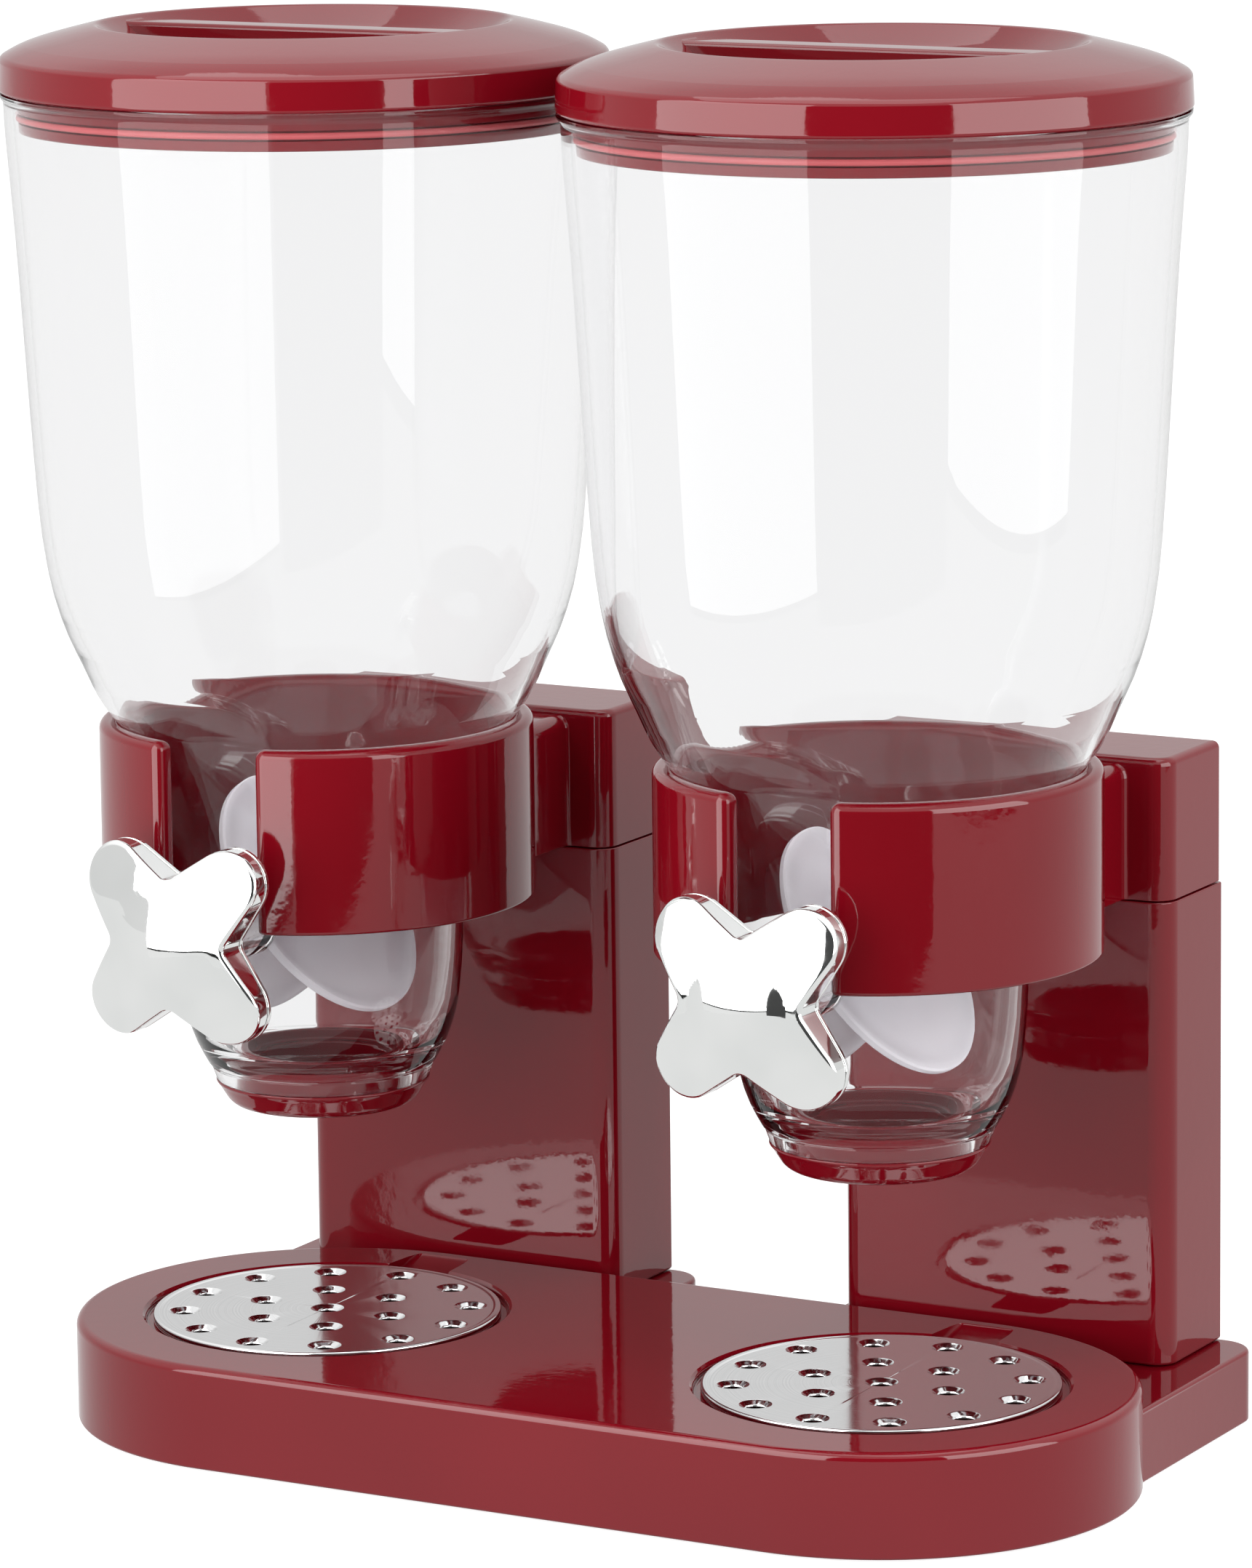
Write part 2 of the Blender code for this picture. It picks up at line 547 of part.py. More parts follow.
def build_knob(tag, cx, mat):
    def ring(d, y, pull=0.0, dome_r=15.5, swell=0.0):
        """The outline drawn in by d, pulled towards a circle, with the face's crown added to its depth."""
        out = []
        for u, v in knob_outline(d):
            reach = math.hypot(u, v)
            s = 1.0 + pull * (dome_r / reach - 1.0)
            crown = swell * KNOB_CROWN * (1.0 - (reach * s / KNOB_REACH) ** 2)
            out.append((cx + u * s, AXIS_Y + y - crown, SHAFT_Z + v * s))
        return out

    front, split, back = KNOB_FRONT, KNOB_SPLIT, KNOB_BACK
    rings = [ring(0.3, split), ring(0.0, split - 0.4), ring(0.0, front + 1.2, swell=1.0),
             ring(0.4, front + 0.3, swell=1.0), ring(1.3, front, swell=1.0)]
    for pull, radius, dome in ((0.5, 15.5, 0.0), (1.0, 15.0, 0.05), (1.0, 11.5, 0.5), (1.0, 7.5, 1.1), (1.0, 3.5, 1.5)):
        rings.append(ring(1.3, front - dome, pull, radius, 1.0))
    rings.append([(cx, AXIS_Y + front - KNOB_CROWN - 1.6, SHAFT_Z)])
    make("knob_front_" + tag, *loft(rings), mat, origin=(cx, AXIS_Y + split, SHAFT_Z))
    rings = [ring(0.6, back), ring(0.0, back - 0.6), ring(0.0, split + 0.6), ring(0.3, split + 0.3)]
    rear = make("knob_back_" + tag, *loft(rings), mat, origin=(cx, AXIS_Y + back, SHAFT_Z))
    hub = ((0, AXIS_Y + back - 1.0), (8.0, AXIS_Y + back - 1.0), (8.0, AXIS_Y - 63.9), (7.5, AXIS_Y - 63.4),
           (0, AXIS_Y - 63.4))
    boolean(rear, make("add_hub_" + tag, *turned_y(hub, cx, SHAFT_Z, 20), None, helper=True), "UNION")
    hole = ((4.3, AXIS_Y - 60.0), (4.3, AXIS_Y - 73.0))
    boolean(rear, make("cut_hub_" + tag, *turned_y(hole, cx, SHAFT_Z, 16), None, helper=True), "DIFFERENCE")


def main():
    clear_scene()
    red = material("red_gloss_plastic", (0.42, 0.004, 0.012), 0.12, coat=0.4)
    clear = material("clear_plastic", (0.97, 0.97, 0.98), 0.03, transmission=1.0, ior=1.49)
    chrome = material("chrome_plated_plastic", (0.82, 0.83, 0.82), 0.06, metallic=1.0)
    steel = material("polished_steel", (0.70, 0.70, 0.71), 0.15, metallic=1.0)
    silicone = material("milky_silicone", (0.80, 0.77, 0.80), 0.45, transmission=0.25, ior=1.41)
    white = material("white_plastic", (0.85, 0.85, 0.86), 0.35)
    rubber = material("dark_rubber", (0.03, 0.03, 0.03), 0.7)
    build_base(red)
    build_feet(rubber)
    build_screws(steel)
    for side in (-1, 1):
        tag, cx = ("left", -AXIS_X) if side < 0 else ("right", AXIS_X)
        build_column(tag, cx, red)
        build_stand_top(tag, cx, red)
        build_disc(tag, cx, steel)
        build_hopper(tag, cx, clear)
        build_lid(tag, cx, red)
        build_seal(tag, cx, silicone)
        build_cap(tag, cx, red)
        build_bush(tag, cx, white)
        build_shaft(tag, cx, white)
        build_paddle(tag, cx, silicone)
        build_knob(tag, cx, chrome)


main()
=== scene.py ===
"""Looks for the double dry-food dispenser.

Each CAD solid gets a finer shell that rides the same body, with a procedural material, except the feet and
the screws, which keep their CAD meshes and only get a material. Lengths are in millimetres, except in the
stage section, which is in metres. Profiles list (radius, height, fillet), or y for height about the shaft.
"""

import math

import bmesh
import bpy
from mathutils import Matrix, Vector


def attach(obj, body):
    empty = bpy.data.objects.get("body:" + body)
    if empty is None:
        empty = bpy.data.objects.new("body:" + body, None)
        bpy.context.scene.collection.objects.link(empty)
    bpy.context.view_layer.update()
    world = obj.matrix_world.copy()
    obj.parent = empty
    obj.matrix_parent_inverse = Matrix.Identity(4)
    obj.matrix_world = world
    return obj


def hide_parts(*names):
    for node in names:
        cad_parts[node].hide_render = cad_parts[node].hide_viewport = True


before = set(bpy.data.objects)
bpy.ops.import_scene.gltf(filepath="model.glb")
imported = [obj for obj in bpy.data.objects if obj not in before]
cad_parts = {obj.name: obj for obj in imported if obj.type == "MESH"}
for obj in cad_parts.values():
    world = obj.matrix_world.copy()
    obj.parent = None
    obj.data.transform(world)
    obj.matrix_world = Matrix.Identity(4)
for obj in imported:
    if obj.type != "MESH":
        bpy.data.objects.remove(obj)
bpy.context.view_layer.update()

# ---- sizes shared with the CAD, in millimetres ----
MM = 0.001
AXIS_X = 87.0
AXIS_Y = -13.5
SHAFT_Z = 148.0
SIDES = ((-1, "left"), (1, "right"))
FINE = 144  # sides of a big round piece


# ---- mesh helpers ----
def rounded_path(points, closed=False):
    """(a, b, fillet) corners to a path with eased corners.

    A fillet of None eases as much as the sides allow.
    """
    count = len(points)
    out = []
    for i, (x, y, fillet) in enumerate(points):
        if not closed and i in (0, count - 1):
            out.append((x, y))
            continue
        here = Vector((x, y))
        before, after = Vector(points[i - 1][:2]), Vector(points[(i + 1) % count][:2])
        to_a, to_b = before - here, after - here
        reach = min(to_a.length, to_b.length) * 0.5
        if fillet is not None:
            reach = min(reach, fillet)
        if reach < 1e-4:
            out.append((x, y))
            continue
        start, end = here + to_a.normalized() * reach, here + to_b.normalized() * reach
        turn = math.pi - to_a.angle(to_b)
        steps = max(2, min(10, int(math.degrees(turn) / 7.0) + 1, int(reach / 0.12) + 2))
        for s in range(steps + 1):
            t = s / steps
            p = start * (1 - t) ** 2 + here * (2 * t * (1 - t)) + end * t * t
            if not out or (Vector(out[-1]) - p).length > 1e-4:
                out.append((p.x, p.y))
    return out


def stack(z0, z1, r0, r1, steps=6):
    """(inset, height) pairs up a wall with a rounded bottom edge and a rounded top edge."""
    out = []
    for i in range(steps + 1):
        t = math.pi / 2 * (1 - i / steps)
        out.append((r0 * (1 - math.cos(t)), z0 + r0 * (1 - math.sin(t))))
    for i in range(steps + 1):
        t = math.pi / 2 * i / steps
        out.append((r1 * (1 - math.cos(t)), z1 - r1 * (1 - math.sin(t))))
    return out


def circle(r, z, n=FINE):
    if r <= 1e-9:
        return [(0.0, 0.0, z)]
    return [(r * math.cos(2 * math.pi * i / n), r * math.sin(2 * math.pi * i / n), z) for i in range(n)]


def loft(rings, closed=False):
    verts, spans, faces = [], [], []
    for ring in rings:
        spans.append((len(verts), len(ring)))
        verts.extend(ring)
    pairs = list(zip(spans, spans[1:])) + ([(spans[-1], spans[0])] if closed else [])
    for (a, na), (b, nb) in pairs:
        if na == 1 and nb == 1:
            continue
        if na == 1:
            faces.extend((a, b + i, b + (i + 1) % nb) for i in range(nb))
        elif nb == 1:
            faces.extend((a + i, b, a + (i + 1) % na) for i in range(na))
        else:
            faces.extend((a + i, b + i, b + (i + 1) % nb, a + (i + 1) % na) for i in range(na))
    if not closed:
        faces.extend(tuple(range(start, start + n)) for start, n in (spans[0], spans[-1]) if n > 2)
    return verts, faces


def turned(profile, n=FINE, closed=False):
    """A body of revolution about Z from (radius, height, fillet) corners."""
    return loft([circle(r, z, n) for r, z in rounded_path(profile, closed)], closed)


def turned_y(profile, n=FINE, closed=False):
    """The same about Y, from (radius, y, fillet) corners."""
    verts, faces = turned(profile, n, closed)
    return [(x, z, -y) for x, y, z in verts], faces


def make(name, verts, faces, at=(0.0, 0.0, 0.0), sharp=32.0):
    """A mesh object from points in millimetres about the point at."""
    mesh = bpy.data.meshes.new(name)
    mesh.from_pydata([Vector(v) * MM for v in verts], [], faces)
    work = bmesh.new()
    work.from_mesh(mesh)
    bmesh.ops.remove_doubles(work, verts=work.verts, dist=1e-7)
    bmesh.ops.recalc_face_normals(work, faces=work.faces)
    work.to_mesh(mesh)
    work.free()
    mesh.shade_smooth()
    mesh.set_sharp_from_angle(angle=math.radians(sharp))
    obj = bpy.data.objects.new(name, mesh)
    obj.location = Vector(at) * MM
    bpy.context.scene.collection.objects.link(obj)
    return obj


def combine(obj, steps, sharp=32.0):
    """Runs (operation, helper) Booleans on obj, stores the result in its mesh and removes the helpers."""
    for operation, helper in steps:
        mod = obj.modifiers.new(operation, "BOOLEAN")
        mod.operation, mod.object, mod.solver = operation, helper, "EXACT"
    bpy.context.view_layer.update()
    graph = bpy.context.evaluated_depsgraph_get()
    mesh = bpy.data.meshes.new_from_object(obj.evaluated_get(graph))
    obj.modifiers.clear()
    obj.data = mesh
    for _, helper in steps:
        bpy.data.objects.remove(helper, do_unlink=True)
    mesh.shade_smooth()
    mesh.set_sharp_from_angle(angle=math.radians(sharp))
    return obj


def even_normals(obj):
    """Keeps flat faces flat beside rounded edges."""
    mod = obj.modifiers.new("even_normals", "WEIGHTED_NORMAL")
    mod.keep_sharp = True
    mod.weight = 60
    return obj


def add(mesh, at=(0.0, 0.0, 0.0)):
    """A Boolean step that joins a helper body."""
    return "UNION", make("helper", *mesh, at=at)


def cut(mesh, at=(0.0, 0.0, 0.0)):
    """A Boolean step that takes a helper body away."""
    return "DIFFERENCE", make("helper", *mesh, at=at)


def finish_piece(obj, body, node, mat):
    """Gives the piece its material and body, and hides the CAD node it stands in for."""
    obj.data.materials.clear()
    obj.data.materials.append(mat)
    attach(obj, body)
    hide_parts(node)
    return obj


def arc_box(x0, x1, y0, y1, r, z, n=8, front_r=None):
    """A rectangle with rounded corners at height z; front_r rounds the two front corners."""
    front = r if front_r is None else front_r
    points = []
    for cx, cy, start, radius in ((x1 - front, y0 + front, -90, front), (x1 - r, y1 - r, 0, r),
                                  (x0 + r, y1 - r, 90, r), (x0 + front, y0 + front, 180, front)):
        for i in range(n + 1):
            a = math.radians(start + 90.0 * i / n)
            points.append((cx + radius * math.cos(a), cy + radius * math.sin(a), z))
    return points


# ---- materials ----
def new_material(name):
    """A material, its node tree and its Principled shader."""
    mat = bpy.data.materials.new(name)
    mat.use_nodes = True
    tree = mat.node_tree
    return mat, tree, tree.nodes["Principled BSDF"]


def noise(tree, scale, detail=3.0, rough=0.5, stretch=(1.0, 1.0, 1.0), coords="Object"):
    where = tree.nodes.new("ShaderNodeTexCoord")
    mapping = tree.nodes.new("ShaderNodeMapping")
    mapping.inputs["Scale"].default_value = stretch
    tex = tree.nodes.new("ShaderNodeTexNoise")
    tex.inputs["Scale"].default_value = scale
    tex.inputs["Detail"].default_value = detail
    tex.inputs["Roughness"].default_value = rough
    tree.links.new(where.outputs[coords], mapping.inputs["Vector"])
    tree.links.new(mapping.outputs["Vector"], tex.inputs["Vector"])
    return tex.outputs["Fac"]


def ramp(tree, value, low, high, a, b):
    """value between low and high, spread over a to b."""
    node = tree.nodes.new("ShaderNodeMapRange")
    for key, number in zip(("From Min", "From Max", "To Min", "To Max"), (low, high, a, b)):
        node.inputs[key].default_value = number
    tree.links.new(value, node.inputs["Value"])
    return node.outputs["Result"]


def blend_color(tree, fac, a, b):
    node = tree.nodes.new("ShaderNodeMix")
    node.data_type = "RGBA"
    node.inputs["A"].default_value = (*a, 1.0)
    node.inputs["B"].default_value = (*b, 1.0)
    tree.links.new(fac, node.inputs["Factor"])
    return node.outputs["Result"]


def cloud_color(tree, shader, cloud, a, b, low=0.35, high=0.65):
    """Drives the base colour from a to b by a noise value between low and high."""
    mix = blend_color(tree, ramp(tree, cloud, low, high, 0.0, 1.0), a, b)
    tree.links.new(mix, shader.inputs["Base Color"])


def math_node(tree, operation, a, b):
    node = tree.nodes.new("ShaderNodeMath")
    node.operation = operation
    for i, value in enumerate((a, b)):
        if isinstance(value, (int, float)):
            node.inputs[i].default_value = value
        else:
            tree.links.new(value, node.inputs[i])
    return node.outputs["Value"]


def bump(tree, shader, height, strength, distance):
    node = tree.nodes.new("ShaderNodeBump")
    node.inputs["Strength"].default_value = strength
    node.inputs["Distance"].default_value = distance
    tree.links.new(height, node.inputs["Height"])
    tree.links.new(node.outputs["Normal"], shader.inputs["Normal"])


def let_lamps_through(mat, shader, tint):
    """Shadow and diffuse rays pass a clear wall straight, as light does through thin plastic."""
    tree = mat.node_tree
    clear = tree.nodes.new("ShaderNodeBsdfTransparent")
    clear.inputs["Color"].default_value = (*tint, 1.0)
    path = tree.nodes.new("ShaderNodeLightPath")
    mix = tree.nodes.new("ShaderNodeMixShader")
    tree.links.new(math_node(tree, "MAXIMUM", path.outputs["Is Shadow Ray"], path.outputs["Is Diffuse Ray"]),
                   mix.inputs["Fac"])
    tree.links.new(shader.outputs["BSDF"], mix.inputs[1])
    tree.links.new(clear.outputs["BSDF"], mix.inputs[2])
    tree.links.new(mix.outputs["Shader"], tree.nodes["Material Output"].inputs["Surface"])


def red_plastic():
    mat, tree, shader = new_material("red_gloss_plastic")
    cloud = noise(tree, 9.0, 2.0)
    cloud_color(tree, shader, cloud, (0.112, 0.0012, 0.0042), (0.130, 0.0017, 0.0055))
    dust = noise(tree, 900.0, 2.0)
    hairs = noise(tree, 60.0, 4.0, stretch=(0.6, 7.0, 1.4))
    specks = ramp(tree, dust, 0.62, 0.75, 0.0, 0.06)
    haze = math_node(tree, "ADD", specks, ramp(tree, hairs, 0.4, 0.7, 0.035, 0.075))
    tree.links.new(haze, shader.inputs["Roughness"])
    shader.inputs["IOR"].default_value = 1.52
    shader.inputs["Specular IOR Level"].default_value = 0.5
    peel = noise(tree, 260.0, 2.0)
    bump(tree, shader, peel, 0.05, 0.0004)
    return mat


def clear_plastic():
    mat, tree, shader = new_material("clear_plastic")
    shader.inputs["Base Color"].default_value = (0.985, 0.985, 0.988, 1.0)
    shader.inputs["Transmission Weight"].default_value = 1.0
    shader.inputs["IOR"].default_value = 1.34
    hairs = noise(tree, 70.0, 4.0, stretch=(1.0, 1.0, 0.12))
    tree.links.new(ramp(tree, hairs, 0.45, 0.75, 0.0, 0.02), shader.inputs["Roughness"])
    flow = noise(tree, 16.0, 2.0, stretch=(1.0, 1.0, 0.4))
    bump(tree, shader, flow, 0.03, 0.0008)
    let_lamps_through(mat, shader, (0.93, 0.93, 0.94))
    return mat


def chrome():
    mat, tree, shader = new_material("chrome_plate")
    shader.inputs["Metallic"].default_value = 1.0
    cloud = noise(tree, 40.0, 2.0)
    cloud_color(tree, shader, cloud, (0.83, 0.845, 0.835), (0.89, 0.90, 0.89))
    smear = noise(tree, 120.0, 5.0, stretch=(1.0, 1.0, 2.5))
    tree.links.new(ramp(tree, smear, 0.4, 0.8, 0.025, 0.07), shader.inputs["Roughness"])
    ripple = noise(tree, 90.0, 1.0)
    bump(tree, shader, ripple, 0.03, 0.0005)
    return mat


def polished_steel():
    """Turned finish: fine rings about the disc's own centre, with scattered scratches."""
    mat, tree, shader = new_material("polished_steel")
    shader.inputs["Metallic"].default_value = 1.0
    where = tree.nodes.new("ShaderNodeTexCoord")
    split = tree.nodes.new("ShaderNodeSeparateXYZ")
    tree.links.new(where.outputs["Object"], split.inputs["Vector"])
    xx = math_node(tree, "MULTIPLY", split.outputs["X"], split.outputs["X"])
    yy = math_node(tree, "MULTIPLY", split.outputs["Y"], split.outputs["Y"])
    radius = math_node(tree, "SQRT", math_node(tree, "ADD", xx, yy), 0.0)
    join = tree.nodes.new("ShaderNodeCombineXYZ")
    tree.links.new(radius, join.inputs["X"])
    rings = tree.nodes.new("ShaderNodeTexNoise")
    rings.inputs["Scale"].default_value = 2200.0
    rings.inputs["Detail"].default_value = 3.0
    tree.links.new(join.outputs["Vector"], rings.inputs["Vector"])
    scratch = noise(tree, 220.0, 5.0, stretch=(1.0, 9.0, 1.0))
    cloud_color(tree, shader, rings.outputs["Fac"], (0.66, 0.665, 0.67), (0.80, 0.80, 0.80), 0.3, 0.7)
    haze = math_node(tree, "ADD", ramp(tree, rings.outputs["Fac"], 0.3, 0.7, 0.07, 0.15),
                     ramp(tree, scratch, 0.62, 0.75, 0.0, 0.12))
    tree.links.new(haze, shader.inputs["Roughness"])
    bump(tree, shader, rings.outputs["Fac"], 0.08, 0.0001)
    return mat


def silicone():
    mat, tree, shader = new_material("milky_silicone")
    cloud = noise(tree, 35.0, 3.0)
    cloud_color(tree, shader, cloud, (0.86, 0.84, 0.87), (0.93, 0.91, 0.94))
    shader.inputs["Transmission Weight"].default_value = 0.35
    shader.inputs["IOR"].default_value = 1.25
    grain = noise(tree, 1500.0, 2.0)
    tree.links.new(ramp(tree, grain, 0.3, 0.7, 0.34, 0.5), shader.inputs["Roughness"])
    bump(tree, shader, grain, 0.06, 0.0002)
    return mat


def seal_silicone():
    mat, tree, shader = new_material("seal_silicone")
    cloud = noise(tree, 50.0, 2.0)
    tint = blend_color(tree, cloud, (0.34, 0.045, 0.052), (0.42, 0.07, 0.075))
    tree.links.new(tint, shader.inputs["Base Color"])
    grain = noise(tree, 1300.0, 2.0)
    tree.links.new(ramp(tree, grain, 0.3, 0.7, 0.3, 0.45), shader.inputs["Roughness"])
    bump(tree, shader, grain, 0.05, 0.0002)
    return mat


def white_plastic():
    mat, tree, shader = new_material("white_plastic")
    cloud = noise(tree, 60.0, 2.0)
    tint = blend_color(tree, cloud, (0.78, 0.78, 0.79), (0.86, 0.86, 0.87))
    tree.links.new(tint, shader.inputs["Base Color"])
    grain = noise(tree, 1200.0, 2.0)
    tree.links.new(ramp(tree, grain, 0.3, 0.7, 0.25, 0.4), shader.inputs["Roughness"])
    bump(tree, shader, grain, 0.05, 0.0002)
    return mat


def dark_rubber():
    mat, tree, shader = new_material("dark_rubber")
    grain = noise(tree, 1400.0, 3.0)
    tint = blend_color(tree, grain, (0.018, 0.018, 0.019), (0.045, 0.044, 0.044))
    tree.links.new(tint, shader.inputs["Base Color"])
    tree.links.new(ramp(tree, grain, 0.3, 0.7, 0.6, 0.85), shader.inputs["Roughness"])
    bump(tree, shader, grain, 0.3, 0.0003)
    return mat


def fastener_steel():
    mat, tree, shader = new_material("fastener_steel")
    shader.inputs["Metallic"].default_value = 1.0
    cloud = noise(tree, 300.0, 3.0)
    tint = blend_color(tree, cloud, (0.42, 0.42, 0.43), (0.62, 0.62, 0.62))
    tree.links.new(tint, shader.inputs["Base Color"])
    tree.links.new(ramp(tree, cloud, 0.3, 0.7, 0.2, 0.4), shader.inputs["Roughness"])
    bump(tree, shader, cloud, 0.1, 0.0001)
    return mat


# ---- stand ----
def stadium(r, z, n=56):
    """The base in plan: a half circle of radius r round each dispenser's axis, joined by straight sides."""
    points = []
    for side, start in ((1, -90.0), (-1, 90.0)):
        for i in range(n + 1):
            a = math.radians(start + 180.0 * i / n)
            points.append((side * AXIS_X + r * math.cos(a), AXIS_Y + r * math.sin(a), z))
    return points


def about(points, cx):
    return [(x + cx, y + AXIS_Y, z) for x, y, z in points]


def shifted(mesh, cx, cy, cz=0.0):
    verts, faces = mesh
    return [(x + cx, y + cy, z + cz) for x, y, z in verts], faces


def foot_post(x, y):
    """The boss above a foot, to be kept out of a hollow."""
    return cut(shifted(turned(((0, 2.4, 0), (7.5, 2.4, 0), (7.5, 31, 0), (0, 31, 0)), 32), x, y))


def base_shell(mat):
    base = make("base_shell", *loft([stadium(70.2 - d, z) for d, z in stack(0.3, 29.0, 0.8, 2.4)]))
    steps = []
    for side, _ in SIDES:
        x0, x1 = sorted((side * 25.5, side * 149.0))
        plinth = [arc_box(x0 + d, x1 - d, AXIS_Y + 30.0, AXIS_Y + 110.5 - d, 10.0 - d, z, 10, 1.0)
                  for d, z in stack(0.3, 20.5, 0.6, 1.2)]
        steps.append(add(loft(plinth)))

    # the hollow under the platform, round the tray wells, the finger notches and the front feet
    cavity = make("helper", *loft([stadium(67.5, z) for z in (-2.0, 26.0)]))
    inside = []
    for side, _ in SIDES:
        cx = side * AXIS_X
        tray = turned(((0, 11.5, 0), (48.6, 11.5, 0), (48.6, 33, 0), (0, 33, 0)))
        notch = loft([about([(-13, 42, z), (13, 42, z), (13, 69.5, z), (-13, 69.5, z)], cx)
                      for z in (18.0, 32.0)])
        inside += [cut(shifted(tray, cx, AXIS_Y)), cut(notch)]
        inside += [foot_post(side * (AXIS_X + t * 41.4), AXIS_Y - 41.4) for t in (-1, 1)]
    steps.append(("DIFFERENCE", combine(cavity, inside)))

    for side, _ in SIDES:
        cx = side * AXIS_X
        x0, x1 = sorted((side * 28.3, side * 146.2))
        hollow = make("helper", *loft([arc_box(x0, x1, AXIS_Y + 73.0, AXIS_Y + 107.7, 7.0, z)
                                       for z in (-2.0, 17.7)]))
        feet = [foot_post(side * (AXIS_X + t * 46.0), AXIS_Y + 96.0) for t in (-1, 1)]
        steps.append(("DIFFERENCE", combine(hollow, feet)))
        well = ((0, 26.8, 0), (50.6, 26.8, 0.5), (50.6, 28.1, 0.8), (52.2, 29.4, 0), (52.2, 32, 0),
                (0, 32, 0))
        basin = ((0, 14, 0), (46, 14, 3.0), (46, 28, 0), (0, 28, 0))
        steps += [cut(shifted(turned(profile), cx, AXIS_Y)) for profile in (well, basin)]
        # the finger notch behind the tray: (distance behind the axis, half width, floor height)
        scoop = ((44.0, 10.2, 21.5), (52.0, 9.9, 23.8), (60.0, 9.2, 26.6), (64.0, 8.4, 28.2),
                 (65.5, 7.6, 29.4))
        rings = []
        for y, half, low in scoop:
            corner = min(2.0, (31.0 - low) * 0.4)
            arc = [(half - corner + corner * math.cos(a), low + corner - corner * math.sin(a))
                   for a in (0.0, 0.4, 0.8, 1.2, math.pi / 2)]
            outline = [(half, 31.5)] + arc + [(-x, z) for x, z in arc[::-1]] + [(-half, 31.5)]
            rings.append(about([(x, y, z) for x, z in outline], cx))
        steps.append(cut(loft(rings)))
        for t in (-1, 1):
            drill = turned(((0, 10, 0), (2.4, 10, 0), (2.4, 25, 0), (0, 25, 0)), 24)
            steps.append(cut(shifted(drill, side * (AXIS_X + t * 28.0), AXIS_Y + 91.0)))
    combine(base, steps)
    even_normals(base)
    return finish_piece(base, "stand", "base", mat)


def column_shell(tag, cx, mat):
    y0, y1 = AXIS_Y + 74.0, AXIS_Y + 110.0
    rings = [arc_box(cx - 50.5 + d, cx + 50.5 - d, y0 + d, y1 - d, 1.4 - d, z, 8, 6.5 - d)
             for d, z in stack(20.8, 150.7, 1.0, 0.35)]
    for z in (150.7, 30.0):
        rings.append(arc_box(cx - 47.5, cx + 47.5, y0 + 3.0, y1 - 3.0, 0.8, z, 8, 3.5))
    column = make("column_shell_" + tag, *loft(rings))
    even_normals(column)
    return finish_piece(column, "stand", "column_" + tag, mat)


def collar_outline(d, z, n=120):
    """C shape in plan, drawn in by d: outer arc, rounded slot end, inner arc, rounded slot end."""
    ro, ri, half = 60.0 - d, 54.0 + d, 14.3 + d
    corner = max(2.9 - d, 0.05)
    out_a = math.asin((half + corner) / (ro - corner))
    points = []
    for i in range(n + 1):
        a = -math.pi / 2 + out_a + (2 * math.pi - 2 * out_a) * i / n
        points.append((ro * math.cos(a), ro * math.sin(a), z))
    ends = []
    cy = -(ro - corner) * math.cos(out_a)
    for i in range(1, 8):
        a = -math.pi / 2 - out_a + (math.pi / 2 + out_a) * i / 7
        ends.append((-(half + corner) + corner * math.cos(a), cy + corner * math.sin(a)))
    small = min(1.2, corner)
    in_a = math.asin((half + small) / (ri + small))
    cy = -(ri + small) * math.cos(in_a)
    for i in range(0, 6):
        a = (math.pi / 2 - in_a) * i / 5
        ends.append((-(half + small) + small * math.cos(a), cy + small * math.sin(a)))
    points += [(x, y, z) for x, y in ends]
    for i in range(1, n):
        a = -math.pi / 2 - in_a - (2 * math.pi - 2 * in_a) * i / n
        points.append((ri * math.cos(a), ri * math.sin(a), z))
    points += [(-x, y, z) for x, y in ends[::-1]]
    return points


def collar_shell(tag, cx, mat):
    ring = [about(collar_outline(d, z), cx) for d, z in stack(148.0, 198.5, 1.0, 2.7, 7)]
    top = make("collar_" + tag, *loft(ring))
    steps = []
    reach, flare_r = 57.0, 1.6
    rings = []
    for d, z in stack(151.0, 188.5, 0.4, 4.0):
        w = 37.3 - d
        sweep = [math.asin(w / reach) * (1.0 - i / 16.0) for i in range(33)]
        outline = [(reach * math.sin(a), reach * math.cos(a), z) for a in sweep]
        turns = [math.pi / 2 * i / 6 for i in range(7)]
        flare = [(w + flare_r * (1 - math.cos(t)), 73.0 + flare_r * math.sin(t)) for t in turns]
        outline += [(-x, y, z) for x, y in flare] + [(-w - flare_r, 77.0, z), (w + flare_r, 77.0, z)]
        outline += [(x, y, z) for x, y in flare[::-1]]
        rings.append(about(outline, cx))
    steps.append(add(loft(rings)))

    # the block on the column: a tenon below, the block itself, and the hollow inside
    y0, y1 = AXIS_Y + 74.5, AXIS_Y + 109.5
    rings = [arc_box(cx - 47.1, cx + 47.1, y0 + 2.9, y1 - 2.9, 0.8, z, 8, 3.1) for z in (138.0, 151.0)]
    rings += [arc_box(cx - 50.0 + d, cx + 50.0 - d, y0 + d, y1 - d, max(1.4 - d, 0.3), z, 8, 6.2 - d)
              for d, z in stack(151.0, 190.5, 0.35, 2.2)]
    steps.append(add(loft(rings)))
    rings = [arc_box(cx - 44.3, cx + 44.3, y0 + 5.7, y1 - 5.7, 2.0, z) for z in (136.0, 187.5)]
    steps.append(cut(loft(rings)))
    combine(top, steps)
    even_normals(top)
    return finish_piece(top, "stand", "stand_top_" + tag, mat)


